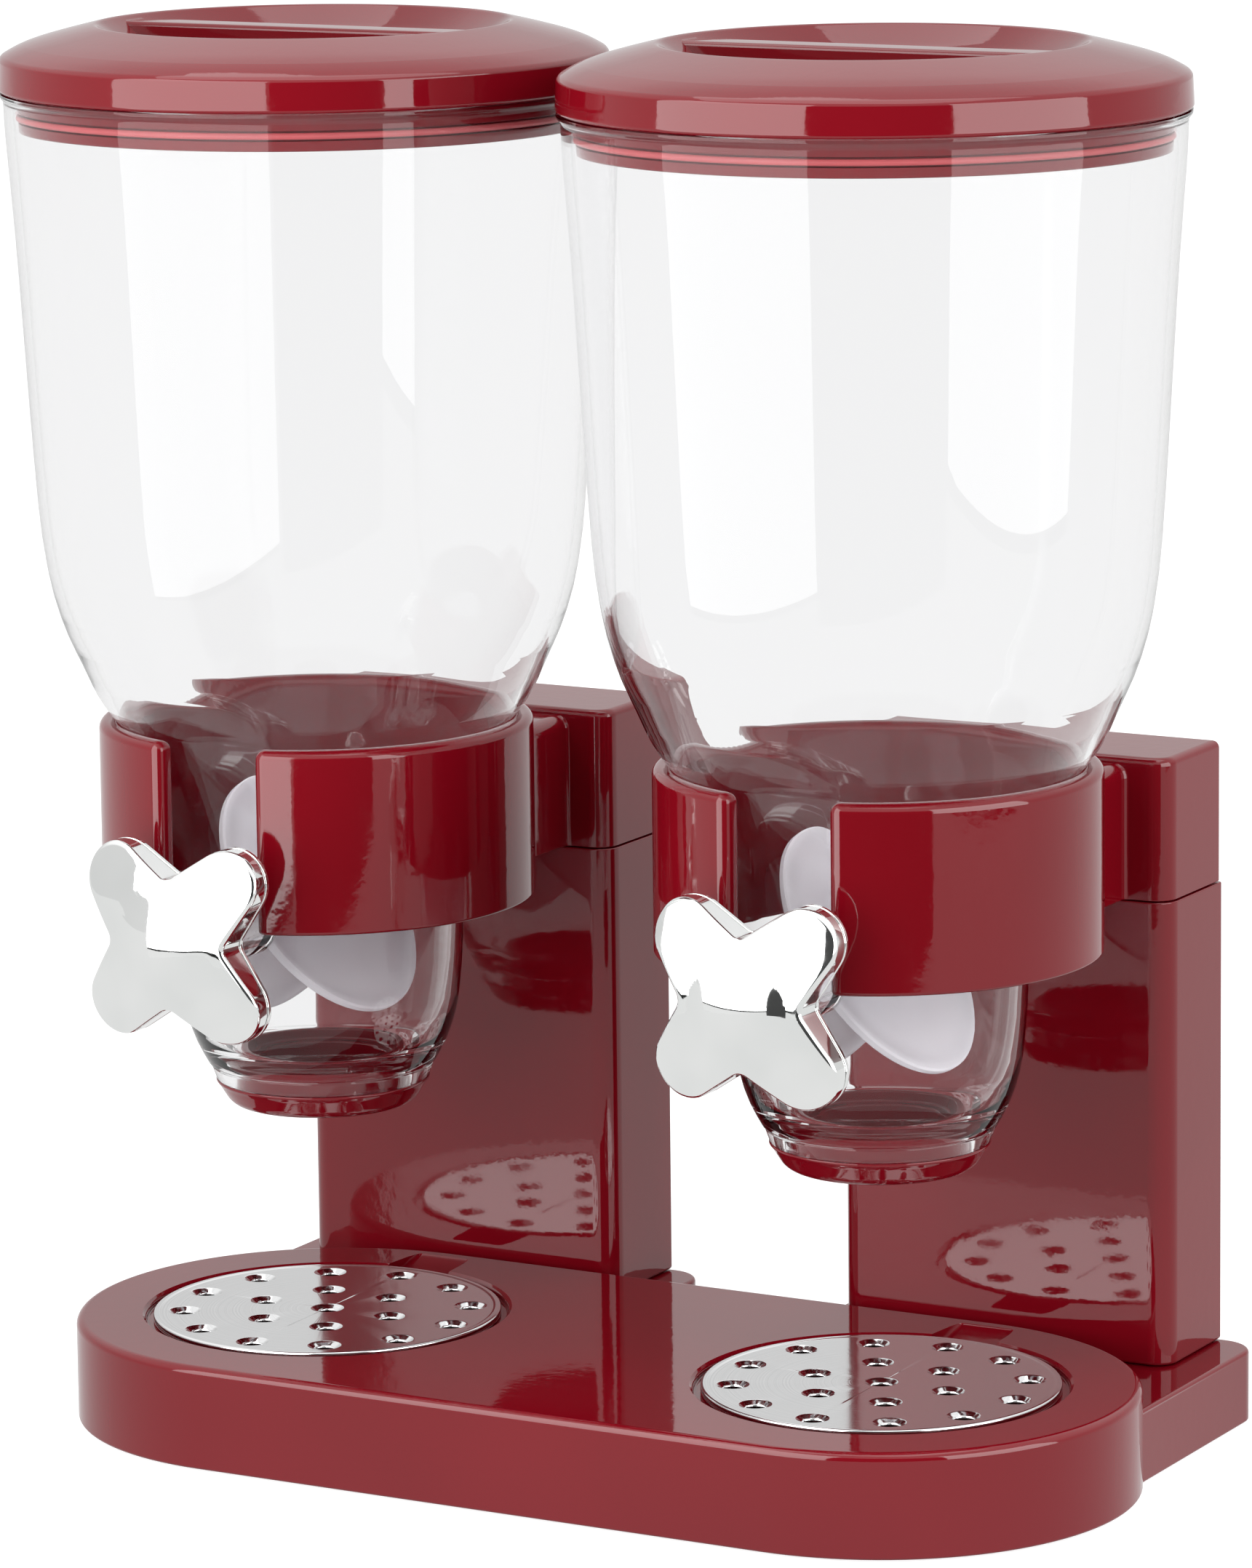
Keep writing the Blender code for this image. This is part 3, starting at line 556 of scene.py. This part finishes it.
def drip_disc(tag, cx, mat):
    profile = ((0, 27.1, 0), (48.7, 27.1, 0.5), (48.7, 29.3, 0.8), (47.0, 29.3, 0.3), (46.6, 29.1, 0.3),
               (0, 29.1, 0))
    disc = make("disc_" + tag, *shifted(turned(profile), 0, 0, -29.0), at=(cx, AXIS_Y, 29.0))
    verts, faces = [], []
    hole = ((0, 25, 0), (3.0, 25, 0), (3.0, 27.9, 0.4), (4.4, 28.95, 0.5), (5.4, 29.45, 0), (0, 29.45, 0))
    for count, ring_r in ((1, 0.0), (6, 20.1), (12, 40.0)):
        for i in range(count):
            a = 2 * math.pi * i / count
            v, f = shifted(turned(hole, 28), cx + ring_r * math.cos(a), AXIS_Y + ring_r * math.sin(a))
            faces.extend(tuple(j + len(verts) for j in face) for face in f)
            verts.extend(v)
    combine(disc, [cut((verts, faces))])
    even_normals(disc)
    return finish_piece(disc, "disc_body_" + tag, "drip_disc_" + tag, mat)


# ---- hopper and fittings ----
HOPPER_OUT = (
    (29.7, 96.6, 0.5), (30.9, 100.0, 0.5), (30.7, 100.5, 0.2), (31.7, 100.9, 0.5), (35.2, 107.3, None),
    (37.8, 115.5, None), (39.2, 127.0, None), (39.8, 139.0, None), (40.6, 152.0, 5.0), (52.7, 190.0, 4.0),
    (54.2, 197.0, 3.0), (57.4, 200.9, 4.0), (60.7, 206.0, None), (64.3, 214.4, None), (68.2, 222.6, None),
    (71.9, 234.0, None), (74.6, 250.0, None), (76.2, 272.0, None), (79.7, 334.0, None),
    (81.8, 361.0, None), (82.1, 369.8, 0.8), (83.2, 371.0, 0.4), (83.2, 372.0, 0.3),
)
HOPPER_IN = (
    (79.3, 372.0, 0.4), (79.2, 361.0, None), (77.3, 334.0, None),
    (73.8, 272.0, None), (72.2, 250.0, None), (69.5, 234.5, None), (65.8, 223.6, None), (61.7, 215.2, None),
    (58.1, 207.2, None), (54.6, 201.2, None), (50.8, 195.0, None), (38.5, 152.5, 6.0), (37.4, 138.0, None),
    (36.6, 126.0, None), (34.6, 115.0, None), (30.5, 107.0, None), (25.2, 103.4, None), (23.9, 101.5, 0.6),
    (23.9, 96.6, 0.4),
)
# (height, distance of the front facet from the axis); at 90 it clears the wall
FACET = ((96, 90.0), (140, 39.2), (150, 39.6), (190, 50.0), (199, 52.3), (212, 62.0), (216, 90.0),
         (372, 90.0))


def table_value(rows, z):
    """The value at z in rows of (z, value)."""
    for (z0, v0), (z1, v1) in zip(rows, rows[1:]):
        if z <= z1:
            return v0 + (v1 - v0) * (z - z0) / (z1 - z0)
    return rows[-1][1]


def soft_min(a, b, k):
    """The smaller of a and b, rounded over where they come within k."""
    h = max(k - abs(a - b), 0.0) / k
    return min(a, b) - h * h * k * 0.25


def hopper_shell(tag, cx, mat):
    def ring(r, z, wall, n=216):
        flat = table_value(FACET, z) - wall
        blend = 0.35 + 2.6 * min(max((z - 186.0) / 18.0, 0.0), 1.0)
        points = []
        for i in range(n):
            a = 2 * math.pi * i / n
            front = -math.sin(a)
            s = soft_min(r, flat / front, blend) if front > 0.3 else r
            points.append((s * math.cos(a), s * math.sin(a), z - SHAFT_Z))
        return points

    rings = [ring(r, z, 0.0) for r, z in rounded_path(HOPPER_OUT)]
    rings += [ring(r, z, 2.2) for r, z in rounded_path(HOPPER_IN)]
    hopper = make("hopper_shell_" + tag, *loft(rings, closed=True), at=(cx, AXIS_Y, SHAFT_Z), sharp=50.0)
    at = (cx, AXIS_Y, SHAFT_Z)
    front = ((0, -38.7, 0), (10.4, -38.7, 0), (10.3, -62, 0.8), (0, -62, 0))
    rear = ((0, 38.7, 0), (7, 38.7, 0), (6.8, 45, 0.7), (0, 45, 0))
    bore = ((0, -30, 0), (6.5, -30, 0), (6.5, -70, 0), (0, -70, 0))
    blind = ((0, 30, 0), (3.6, 30, 0), (3.6, 43, 0.3), (0, 43, 0))
    steps = [add(turned_y(front, 72), at), add(turned_y(rear, 48), at),
             cut(turned_y(bore, 64), at), cut(turned_y(blind, 48), at)]
    combine(hopper, steps, sharp=50.0)
    return finish_piece(hopper, "hopper_body_" + tag, "hopper_" + tag, mat)


def lid_shell(tag, cx, mat):
    profile = (
        (78.0, 372.3, 0.2), (82.8, 372.3, 0.3), (83.5, 373.0, 0.7), (83.1, 380.9, 0.5), (82.3, 381.9, 0.5),
        (78.4, 384.1, None), (74.0, 385.7, None), (66.0, 387.9, None), (58.4, 389.7, 1.0), (56.6, 390.0, 0.9),
        (55.2, 388.9, 0.9), (46.0, 382.0, None), (28.0, 377.3, None), (0.0, 376.0, 0), (0.0, 373.4, 0),
        (29.0, 374.8, None), (47.5, 379.6, None), (57.0, 386.4, 1.0), (74.0, 383.4, 1.0), (75.4, 380.0, 1.0),
        (75.4, 362.0, 0.5), (78.0, 362.0, 0.6), (78.0, 364.7, 0.1), (76.9, 364.9, 0.1), (76.9, 367.3, 0.1),
        (78.0, 367.5, 0.1),
    )
    at = (cx, AXIS_Y, 372.0)
    rings = [circle(r, z - 372.0, 192) for r, z in rounded_path(profile, closed=True)]
    lid = make("lid_shell_" + tag, *loft(rings, closed=True), at=at, sharp=40.0)
    under = ((0.0, 374.8), (30.0, 376.2), (46.0, 380.6), (55.0, 386.6), (57.0, 387.0))
    rings = []
    for i in range(-16, 17):
        x = 56.2 * i / 16
        low = table_value(under, abs(x)) - 372.0
        top = 388.6 - 372.0
        side = [(-5.6, low), (-5.4, top - 1.3)]
        arc = [(-4.1 - 1.3 * math.cos(a), top - 1.3 + 1.3 * math.sin(a))
               for a in (0.3, 0.6, 0.9, 1.2, math.pi / 2)]
        half = side + arc
        outline = half + [(-y, z) for y, z in half[::-1]]
        rings.append([(x, y, z) for y, z in outline])
    combine(lid, [add(loft(rings), at)], sharp=40.0)
    even_normals(lid)
    return finish_piece(lid, "lid_body_" + tag, "lid_" + tag, mat)


def small_turned(tag, cx, mats):
    """The seal, the outlet cap, the bush and the shaft."""
    seal = ((77.2, 365.2, 0.2), (78.2, 365.2, 0.4), (78.75, 366.1, 0.5), (78.2, 367.0, 0.4),
            (77.2, 367.0, 0.2))
    obj = make("seal_" + tag, *shifted(turned(seal, closed=True), 0, 0, -366.0), at=(cx, AXIS_Y, 366.0))
    finish_piece(obj, "lid_body_" + tag, "lid_seal_" + tag, mats["seal"])
    cap = ((0, 89.3, 0), (24.6, 89.3, 1.0), (26.4, 90.6, 1.2), (29.0, 94.8, 1.0), (29.75, 95.7, 0.4),
           (29.75, 96.3, 0.3), (23.5, 96.3, 0.3), (23.5, 102.4, 0.5), (22.8, 103.0, 0.4),
           (21.2, 103.0, 0.5), (20.8, 98.9, 0.8),
           (18.2, 98.4, 0.6), (17.4, 92.4, 1.2), (0, 92.0, 0))
    obj = make("cap_shell_" + tag, *shifted(turned(cap), 0, 0, -96.0), at=(cx, AXIS_Y, 96.0))
    even_normals(obj)
    finish_piece(obj, "cap_body_" + tag, "outlet_cap_" + tag, mats["red"])
    at = (cx, AXIS_Y, SHAFT_Z)
    bush = ((4.3, -40.0, 0.2), (6.2, -40.0, 0.4), (6.2, -62.3, 0.1), (8.6, -62.3, 0.3), (8.6, -63.1, 0.3),
            (4.3, -63.1, 0.2))
    obj = make("bush_ring_" + tag, *turned_y(bush, 64, closed=True), at=at)
    finish_piece(obj, "hopper_body_" + tag, "bush_" + tag, mats["white"])
    shaft = ((0, -70.2, 0), (3.6, -70.2, 0.3), (4.0, -69.7, 0.3), (4.0, 36.8, 0.3), (3.2, 36.8, 0.2),
             (3.2, 42.3, 0.4), (0, 42.6, 0))
    obj = make("shaft_rod_" + tag, *turned_y(shaft, 48), at=at)
    finish_piece(obj, "wheel_" + tag, "shaft_" + tag, mats["white"])


def vane_mesh(angle, reach=37.6, root=5.0, half_y=36.6):
    """One flexible vane: a thin web with a thicker lip round its edge, in the plane at the given angle."""
    def outline(d):
        r = reach - d
        limit = min(half_y - d, r - 0.05)
        edge = []
        for i in range(33):
            t = math.pi * (i / 32.0 - 0.5)
            y, out = r * math.sin(t), r * math.cos(t)
            squeeze = limit / r
            edge.append((y * squeeze, max(out, root + 0.4)))
        return [(-limit, root)] + edge + [(limit, root)]

    half = ((8.5, 0.75), (3.4, 0.75), (2.6, 1.2), (0.5, 1.25), (0.0, 0.7))
    levels = half + tuple((d, -t) for d, t in half[::-1])
    a = math.radians(angle)
    ux, uz, vx, vz = math.cos(a), math.sin(a), -math.sin(a), math.cos(a)
    rings = [[(ux * out + vx * t, y, uz * out + vz * t) for y, out in outline(d)] for d, t in levels]
    return loft(rings)


def paddle_wheel(tag, cx, mat):
    at = (cx, AXIS_Y, SHAFT_Z)
    hub = ((4.3, -36.0, 0.3), (7.2, -36.0, 0.6), (7.6, 0, None), (7.2, 36.0, 0.6), (4.3, 36.0, 0.3))
    wheel = make("paddle_wheel_" + tag, *turned_y(hub, 64, closed=True), at=at)
    steps = [add(vane_mesh(-55.0 + 60.0 * k), at) for k in range(6)]
    combine(wheel, steps, sharp=40.0)
    return finish_piece(wheel, "wheel_" + tag, "paddle_" + tag, mat)


def knob_outline(d, n_lobe=22, n_valley=7, n_side=5):
    """Four lobes joined through tight valleys by straight sides, drawn in by d."""
    points = []
    for k in range(4):
        a, b = math.radians(45.0 + 90.0 * k), math.radians(90.0 + 90.0 * k)
        lobe = Vector((24.0 * math.cos(a), 24.0 * math.sin(a)))
        valley = Vector((21.5 * math.cos(b), 21.5 * math.sin(b)))
        span = valley - lobe
        lean = math.acos((9.6 + 3.5) / span.length)
        out_a = math.atan2(span.y, span.x) - lean
        half = (out_a - a + math.pi) % (2 * math.pi) - math.pi
        arc = []
        for i in range(n_lobe):
            t = a - half + 2 * half * i / (n_lobe - 1)
            arc.append(lobe + (9.6 - d) * Vector((math.cos(t), math.sin(t))))
        start = out_a + math.pi
        turn = (b + math.pi - start + math.pi) % (2 * math.pi) - math.pi
        dip = []
        for i in range(n_valley):
            t = start + 2 * turn * i / (n_valley - 1)
            dip.append(valley + (3.5 + d) * Vector((math.cos(t), math.sin(t))))
        follow = Matrix.Rotation(math.radians(90.0), 2)
        sides = [arc[-1].lerp(dip[0], i / n_side) for i in range(1, n_side)]
        nxt = follow @ arc[0]
        back = [dip[-1].lerp(nxt, i / n_side) for i in range(1, n_side)]
        points += arc + sides + dip + back
    return [(p.x, p.y) for p in points]


KNOB_REACH = 33.6   # from the axis to the tip of a lobe
KNOB_CROWN = 6.3    # how far the face stands forward at the axis
KNOB_RIM = -75.5    # the face's edge plane at the tips
KNOB_SPLIT = -70.9  # the front half's back face; the rear half starts 0.3 behind it
DOME_R, DOME_RISE = 15.0, 1.9   # the raised middle of the face
EDGE_R = 1.25       # the rounding of the face's edge


def knob_halves(tag, cx, mat):
    def crown(reach):
        """How far the front face stands in front of its edge plane."""
        dome = DOME_RISE * max(0.0, 1.0 - (reach / DOME_R) ** 2) ** 1.3
        return KNOB_CROWN * (1.0 - (reach / KNOB_REACH) ** 2) + dome

    def ring(d, y):
        return [(u, y, v) for u, v in knob_outline(d)]

    def face_ring(scale):
        """The outline scaled down, turning into a circle below round_at."""
        round_at = 0.62
        pts = []
        for u, v in knob_outline(EDGE_R):
            reach = math.hypot(u, v)
            to = scale * reach
            if scale <= round_at:
                to = scale * (reach * (scale / round_at) + 26.0 * (1 - scale / round_at))
            k = to / reach
            pts.append((u * k, KNOB_RIM - crown(to), v * k))
        return pts

    at = (cx, AXIS_Y, SHAFT_Z)
    def rim(d, y):
        """A ring of the side wall that follows the crown of the face."""
        return [(u, y - crown(math.hypot(u, v)), v) for u, v in knob_outline(d)]

    edge_y = KNOB_RIM + EDGE_R
    rings = [ring(0.35, KNOB_SPLIT), ring(0.05, KNOB_SPLIT - 0.3), ring(0.0, KNOB_SPLIT - 0.7),
             rim(0.0, edge_y)]
    for i in range(1, 7):
        t = math.pi / 2 * i / 7
        rings.append(rim(EDGE_R * (1 - math.cos(t)), edge_y - EDGE_R * math.sin(t)))
    rings += [face_ring(scale / 100.0) for scale in (*range(100, 4, -6), 5)]
    rings.append([(0, KNOB_RIM - crown(0.0), 0)])
    knob = make("knob_face_" + tag, *loft(rings), at=at, sharp=50.0)
    even_normals(knob)
    finish_piece(knob, "wheel_" + tag, "knob_front_" + tag, mat)
    rings = [ring(d, KNOB_SPLIT + 0.3 + z) for d, z in stack(0.0, 1.7, 0.3, 0.7)]
    rear = make("knob_rear_" + tag, *loft(rings), at=at, sharp=50.0)
    hub = ((0, -69.9, 0), (8.0, -69.9, 0), (8.0, -63.4, 0.6), (0, -63.4, 0))
    hole = ((0, -60, 0), (4.3, -60, 0), (4.3, -73, 0), (0, -73, 0))
    combine(rear, [add(turned_y(hub, 64), at), cut(turned_y(hole, 48), at)], sharp=50.0)
    even_normals(rear)
    finish_piece(rear, "wheel_" + tag, "knob_back_" + tag, mat)


# ---- stage ----
def area_light(name, at, towards, width, height, radiance):
    """A soft panel. Radiance is its brightness beside a white floor."""
    data = bpy.data.lights.new(name, "AREA")
    data.shape = "RECTANGLE"
    data.size, data.size_y = width, height
    data.energy = radiance * math.pi * width * height
    obj = bpy.data.objects.new(name, data)
    obj.location = at
    obj.rotation_euler = (Vector(towards) - Vector(at)).to_track_quat("-Z", "Y").to_euler()
    obj.visible_camera = False
    obj.visible_transmission = False
    bpy.context.scene.collection.objects.link(obj)
    return obj


def softbox(name, a, b, low, high, radiance):
    """An upright panel on the line from a to b, facing the object."""
    middle = ((a[0] + b[0]) / 2, (a[1] + b[1]) / 2, (low + high) / 2)
    across = Vector((b[0] - a[0], b[1] - a[1], 0.0))
    facing = Vector((-across.y, across.x, 0.0))
    if facing.dot(Vector(middle)) > 0:
        facing = -facing
    area_light(name, middle, Vector(middle) + facing, across.length, high - low, radiance)


def panel(name, corners, color, strength=0.0):
    """A flat card that only reflections see."""
    mesh = bpy.data.meshes.new(name)
    mesh.from_pydata(corners, [], [tuple(range(len(corners)))])
    obj = bpy.data.objects.new(name, mesh)
    bpy.context.scene.collection.objects.link(obj)
    mat, _, shader = new_material(name)
    shader.inputs["Base Color"].default_value = (*color, 1.0)
    shader.inputs["Roughness"].default_value = 1.0
    shader.inputs["Specular IOR Level"].default_value = 0.0
    shader.inputs["Emission Color"].default_value = (1, 1, 1, 1)
    shader.inputs["Emission Strength"].default_value = strength
    mesh.materials.append(mat)
    obj.visible_camera = False
    obj.visible_transmission = False
    obj.visible_diffuse = False
    obj.visible_shadow = False
    return obj


def stage():
    scene = bpy.context.scene
    scene.view_settings.view_transform = "Standard"
    floor_mesh = bpy.data.meshes.new("floor")
    s, z = 6.0, -0.0002
    floor_mesh.from_pydata([(-s, -s, z), (s, -s, z), (s, s, z), (-s, s, z)], [], [(0, 1, 2, 3)])
    floor = bpy.data.objects.new("floor", floor_mesh)
    scene.collection.objects.link(floor)
    mat, tree, shader = new_material("pale_floor")
    shader.inputs["Base Color"].default_value = (0.3, 0.3, 0.3, 1.0)
    shader.inputs["Roughness"].default_value = 0.9
    shader.inputs["Specular IOR Level"].default_value = 0.0
    shader.inputs["Emission Color"].default_value = (1.0, 1.0, 1.0, 1.0)
    shader.inputs["Emission Strength"].default_value = 0.85
    glow = tree.nodes.new("ShaderNodeEmission")
    path = tree.nodes.new("ShaderNodeLightPath")
    level = ramp(tree, path.outputs["Is Transmission Ray"], 0.0, 1.0, 0.84, 0.93)
    tree.links.new(level, glow.inputs["Strength"])
    mix = tree.nodes.new("ShaderNodeMixShader")
    tree.links.new(path.outputs["Is Camera Ray"], mix.inputs["Fac"])
    tree.links.new(glow.outputs["Emission"], mix.inputs[1])
    tree.links.new(shader.outputs["BSDF"], mix.inputs[2])
    tree.links.new(mix.outputs["Shader"], tree.nodes["Material Output"].inputs["Surface"])
    floor_mesh.materials.append(mat)

    world = bpy.data.worlds.new("studio")
    scene.world = world
    world.use_nodes = True
    tree = world.node_tree
    back = tree.nodes["Background"]
    out = tree.nodes["World Output"]
    coords = tree.nodes.new("ShaderNodeTexCoord")
    split = tree.nodes.new("ShaderNodeSeparateXYZ")
    tree.links.new(coords.outputs["Generated"], split.inputs["Vector"])
    up = ramp(tree, split.outputs["Z"], 0.25, 0.55, 0.74, 1.15)
    back.inputs["Color"].default_value = (1.0, 1.0, 1.0, 1.0)
    tree.links.new(up, back.inputs["Strength"])
    path = tree.nodes.new("ShaderNodeLightPath")
    white = tree.nodes.new("ShaderNodeBackground")
    white.inputs["Color"].default_value = (1.0, 1.0, 1.0, 1.0)
    level = ramp(tree, path.outputs["Is Transmission Ray"], 0.0, 1.0, 1.0, 0.9)
    tree.links.new(level, white.inputs["Strength"])
    seen = math_node(tree, "MAXIMUM", path.outputs["Is Camera Ray"], path.outputs["Is Transmission Ray"])
    mix = tree.nodes.new("ShaderNodeMixShader")
    tree.links.new(seen, mix.inputs["Fac"])
    tree.links.new(back.outputs["Background"], mix.inputs[1])
    tree.links.new(white.outputs["Background"], mix.inputs[2])
    tree.links.new(mix.outputs["Shader"], out.inputs["Surface"])

    back_y = AXIS_Y * MM
    left_a, left_b = (-0.378, -0.368 + back_y), (0.163, -0.766 + back_y)
    right_a, right_b = (0.918, -0.604 + back_y), (1.048, 0.275 + back_y)
    softbox_top, softbox_radiance = 0.86, 3.7
    softbox("softbox_left", left_a, left_b, 0.0, softbox_top, softbox_radiance)
    softbox("softbox_right", right_a, right_b, 0.0, softbox_top, softbox_radiance)
    area_light("top_light", (0.0, -0.1, 1.5), (0.0, 0.0, 0.0), 1.4, 1.0, 1.6)
    area_light("back_light", (0.2, 1.5, 0.9), (0.0, 0.0, 0.1), 1.6, 1.0, 2.2).visible_glossy = False
    dark = (0.004, 0.004, 0.004)
    card_a, card_b = (left_b[0] * 0.82, left_b[1] * 0.82), (right_a[0] * 0.82, right_a[1] * 0.82)
    below, card_top = -0.01, 0.5
    panel("dark_card", [(*card_a, below), (*card_b, below), (*card_b, card_top), (*card_a, card_top)],
          dark, 0.06)
    # a dark strip over a pale one at the foot of each softbox, just in front of it
    strip = 0.012
    feet = (("left", left_a, left_b, 0.052, 0.004), ("right", right_a, right_b, 0.03, 0.03))
    for name, near, far, low, high in feet:
        near, far = (near[0] * 0.99, near[1] * 0.99), (far[0] * 0.99, far[1] * 0.99)
        panel("dark_foot_" + name,
              [(*near, low), (*far, high), (*far, high + strip), (*near, low + strip)], dark)
        panel("pale_foot_" + name,
              [(*near, below), (*far, below), (*far, high), (*near, low)], (0.05, 0.05, 0.05), 0.8)

    cam_data = bpy.data.cameras.new("camera")
    cam = bpy.data.objects.new("camera", cam_data)
    scene.collection.objects.link(cam)
    cam_data.sensor_fit = "AUTO"
    cam_data.sensor_width = 36.0
    cam_data.lens = 167.416
    cam_data.shift_x = -0.002
    cam_data.shift_y = -0.097
    cam_data.clip_start = 0.05
    cam_data.clip_end = 50.0
    a, e, r = math.radians(28.989), math.radians(9.505), math.radians(-0.652)
    toward = Vector((math.sin(a) * math.cos(e), -math.cos(a) * math.cos(e), math.sin(e)))
    right = Vector((math.cos(a), math.sin(a), 0.0))
    up_axis = toward.cross(right)
    right_r = math.cos(r) * right + math.sin(r) * up_axis
    up_r = -math.sin(r) * right + math.cos(r) * up_axis
    rot = Matrix((right_r, up_r, toward)).transposed().to_4x4()
    cam.matrix_world = Matrix.Translation((0.9509, -1.6944 + AXIS_Y * MM, 0.5526)) @ rot
    scene.camera = cam


def main():
    mats = {"red": red_plastic(), "clear": clear_plastic(), "chrome": chrome(), "steel": polished_steel(),
            "silicone": silicone(), "seal": seal_silicone(), "white": white_plastic(),
            "rubber": dark_rubber(), "fastener": fastener_steel()}
    stage()
    base_shell(mats["red"])
    for side, tag in SIDES:
        cx = side * AXIS_X
        column_shell(tag, cx, mats["red"])
        collar_shell(tag, cx, mats["red"])
        drip_disc(tag, cx, mats["steel"])
        hopper_shell(tag, cx, mats["clear"])
        lid_shell(tag, cx, mats["red"])
        small_turned(tag, cx, mats)
        paddle_wheel(tag, cx, mats["silicone"])
        knob_halves(tag, cx, mats["chrome"])
    for name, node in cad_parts.items():
        kind = "rubber" if name.startswith("foot") else "fastener" if name.startswith("screw") else None
        if kind:
            node.data.materials.clear()
            node.data.materials.append(mats[kind])


main()
